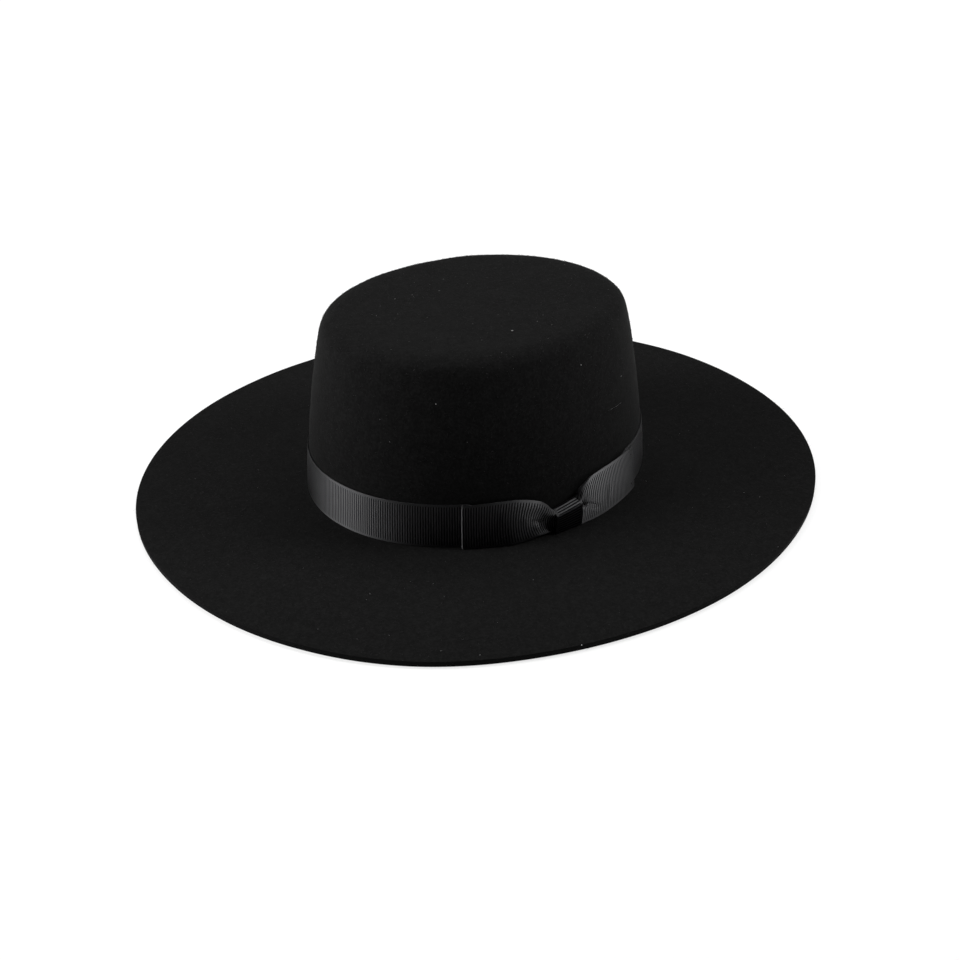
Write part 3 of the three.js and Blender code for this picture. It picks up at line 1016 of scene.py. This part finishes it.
def felt_material():
    n = Nodes("black_felt")
    cloud = n.texture(55, detail=4, rough=0.6)
    mottle = n.texture(260, detail=3, rough=0.6)
    grain = n.texture(700, detail=1)
    fine = n.texture(2200, detail=2, rough=0.6)
    tone = n.weighted(cloud, CLOUD_WEIGHT, n.mix(SPECKLE_SHARE, grain, fine))
    skin = n.ramp(n.mix(MOTTLE_SHARE, tone, mottle), FELT_TONES)
    # Painted shade on the brim's cut edge: the felt's colour is mixed toward a darker grey there.
    n.link_shader("Base Color", n.mix_toward(n.attribute("shaded_cut_edge"), skin, CUT_EDGE_PAINTED_SHADE))
    n.set_shader({
        "Roughness": 0.92,
        "Specular IOR Level": 0.08,
        "Sheen Weight": 0.018,
        "Sheen Roughness": 0.4,
        "Sheen Tint": (1, 1, 1, 1),
    })
    normal = n.bump(cloud, 0.0006, 0.5)
    normal = n.bump(grain, 0.0004, 0.2, normal)
    n.link_shader("Normal", n.bump(fine, 0.0002, 0.15, normal))
    return n.material


def fibre_material(name, low, high):
    """Hairs, dust and thread: their tone changes from place to place."""
    n = Nodes(name)
    spots = n.texture(420, detail=0)
    n.link_shader("Base Color", n.ramp(spots, [(0.35, grey(low)), (0.7, grey(high))]))
    n.set_shader({"Roughness": 0.7, "Specular IOR Level": 0.2})
    return n.material


def ribbon_material():
    """Black ribbon whose highlights are drawn out across the ribs, by way of the weave map."""
    n = Nodes("black_ribbon")
    slow = n.texture(70, detail=3)
    n.link_shader("Base Color", n.ramp(slow, RIBBON_TONES))
    n.link_shader("Specular IOR Level", n.map_range(n.attribute("groove"), (0.0, 1.0), RIB_SHINE))
    n.set_shader({
        "Roughness": 0.6,
        "IOR": 1.62,
        "Specular Tint": (0.97, 0.97, 1.0, 1),
        "Anisotropic": 0.9,
    })
    way = n.add("ShaderNodeTangent", direction_type="UV_MAP", uv_map="weave")
    n.link_shader("Tangent", way.outputs["Tangent"])
    yarn = n.texture(2600, detail=2, rough=0.6, squeeze=(0.4, 0.4, 1))
    n.link_shader("Normal", n.bump(yarn, 0.00008, 0.4))
    return n.material


# Camera, lights and surroundings

def add_camera():
    azimuth, elevation = math.radians(CAMERA_AZIMUTH), math.radians(CAMERA_ELEVATION)
    back = Vector((
        math.sin(azimuth) * math.cos(elevation),
        -math.cos(azimuth) * math.cos(elevation),
        math.sin(elevation),
    ))
    level = Vector((math.cos(azimuth), math.sin(azimuth), 0))
    above = back.cross(level)
    roll = math.radians(CAMERA_ROLL)
    right = level * math.cos(roll) + above * math.sin(roll)
    up = above * math.cos(roll) - level * math.sin(roll)
    crown = Vector((*HEAD_CENTRE, 0))
    target = crown + level * CAMERA_SIDE + Vector((0, 0, CAMERA_TARGET_HEIGHT))
    place = (target + back * CAMERA_DISTANCE) * MM
    data = bpy.data.cameras.new("camera")
    data.sensor_width = SENSOR
    data.lens = FOCAL_PIXELS / PICTURE_PIXELS * SENSOR
    data.clip_start = 0.01
    data.clip_end = 30
    camera = bpy.data.objects.new("camera", data)
    turn = Matrix((right, up, back)).transposed().to_4x4()
    camera.matrix_world = Matrix.Translation(place) @ turn
    bpy.context.scene.collection.objects.link(camera)
    bpy.context.scene.camera = camera


# Rectangular lights, in metres. side, toward: to the right of the hat and towards the camera, as
# the camera sees it.
SOFT_BOXES = [
    dict(name="light_left_high", side=-0.91, toward=0.28, up=0.8, width=0.4, height=0.4, radiance=11.6),
    dict(name="light_left_low", side=-0.95, toward=0.03, up=0.39, width=0.46, height=0.4, radiance=10.2),
    dict(name="light_right_high", side=0.95, toward=0.0, up=0.8, width=0.43, height=0.4, radiance=14.0),
    dict(name="light_right_low", side=0.95, toward=0.0, up=0.16, width=0.43, height=0.3, radiance=2.9),
    dict(name="light_top", side=0.1, toward=-0.4, up=1.1, width=1.0, height=0.3, radiance=6.7),
]
LIGHTS_AIM = Vector((0, 0, 0.05))


def add_soft_box(name, side, toward, up, width, height, radiance):
    azimuth = math.radians(CAMERA_AZIMUTH)
    right = Vector((math.cos(azimuth), math.sin(azimuth), 0))
    near = Vector((math.sin(azimuth), -math.cos(azimuth), 0))
    data = bpy.data.lights.new(name, "AREA")
    data.shape = "RECTANGLE"
    data.size = width
    data.size_y = height
    data.energy = radiance * math.pi * width * height
    lamp = bpy.data.objects.new(name, data)
    lamp.location = right * side + near * toward + Vector((0, 0, up))
    lamp.rotation_euler = (lamp.location - LIGHTS_AIM).to_track_quat("Z", "Y").to_euler()
    bpy.context.scene.collection.objects.link(lamp)


# The floor, in metres, and its own glow near the hat and far from it
FLOOR_HALF = 8.0
FLOOR_DROP = 0.0001
FLOOR_TONE = 0.35
FLOOR_NEAR_TO_FAR = (0.35, 1.4)
FLOOR_GLOW = (0.68, 1.02)


def add_floor():
    """A pale table lit from below, as for product pictures, so that it stays pale far out."""
    mesh = bpy.data.meshes.new("floor")
    corners = [(-1, -1), (1, -1), (1, 1), (-1, 1)]
    points = [(x * FLOOR_HALF, y * FLOOR_HALF, -FLOOR_DROP) for x, y in corners]
    mesh.from_pydata(points, [], [(0, 1, 2, 3)])
    floor = bpy.data.objects.new("floor", mesh)
    bpy.context.scene.collection.objects.link(floor)
    n = Nodes("floor_paper")
    n.set_shader({
        "Base Color": (*grey(FLOOR_TONE), 1),
        "Roughness": 0.9,
        "Specular IOR Level": 0.1,
        "Emission Color": (1, 1, 1, 1),
    })
    distance = n.add("ShaderNodeVectorMath", operation="LENGTH")
    n.link(n.place(), distance.inputs[0])
    glow = n.map_range(distance.outputs["Value"], FLOOR_NEAR_TO_FAR, FLOOR_GLOW, "SMOOTHSTEP")
    n.link_shader("Emission Strength", glow)
    mesh.materials.append(n.material)


def add_world():
    """A world that gives no light and is white behind the floor."""
    world = bpy.data.worlds.new("studio")
    bpy.context.scene.world = world
    world.use_nodes = True
    tree = world.node_tree
    tree.nodes.clear()
    path = tree.nodes.new("ShaderNodeLightPath")
    mix = tree.nodes.new("ShaderNodeMixShader")
    tree.links.new(path.outputs["Is Camera Ray"], mix.inputs[0])
    for target, strength in ((mix.inputs[1], 0.0), (mix.inputs[2], 1.0)):
        background = tree.nodes.new("ShaderNodeBackground")
        background.inputs["Color"].default_value = (1, 1, 1, 1)
        background.inputs["Strength"].default_value = strength
        tree.links.new(background.outputs[0], target)
    out = tree.nodes.new("ShaderNodeOutputWorld")
    tree.links.new(mix.outputs[0], out.inputs["Surface"])


# The whole hat

def dress(piece, material, node=None):
    """Gives a piece its material, hangs it under the root body and hides the CAD node that it stands
    for.
    """
    piece.data.materials.append(material)
    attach(piece, "root")
    if node:
        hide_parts(node)


def build():
    bpy.context.scene.view_settings.view_transform = "Standard"
    add_camera()
    add_world()
    add_floor()
    for soft_box in SOFT_BOXES:
        add_soft_box(**soft_box)

    felt_finish = felt_material()
    ribbon_finish = ribbon_material()
    hair_finish = fibre_material("felt_hair", 0.003, 0.011)
    tuft_finish = fibre_material("felt_tuft", 0.009, 0.032)
    lint_finish = fibre_material("pale_lint", 0.16, 0.5)
    thread_finish = fibre_material("black_thread", 0.001, 0.003)

    felt = build_felt()
    dress(felt, felt_finish, "felt_body")
    band = build_band()
    dress(band, ribbon_finish, "ribbon_band")
    bow = build_bow()
    dress(bow, ribbon_finish, "bow")
    knot = build_knot()
    dress(knot, ribbon_finish, "bow_knot")
    dress(build_hairs("crown_hairs", felt, True, CROWN_HAIRS, HAIR), hair_finish)
    dress(build_hairs("brim_hairs", felt, False, BRIM_HAIRS, HAIR), hair_finish)
    dress(build_hairs("crown_tufts", felt, True, CROWN_TUFTS, TUFT), tuft_finish)
    dress(build_hairs("brim_tufts", felt, False, BRIM_TUFTS, TUFT), tuft_finish)
    dress(build_lint(felt), lint_finish)
    stitches = build_stitches(bow)
    dress(stitches, thread_finish)


build()
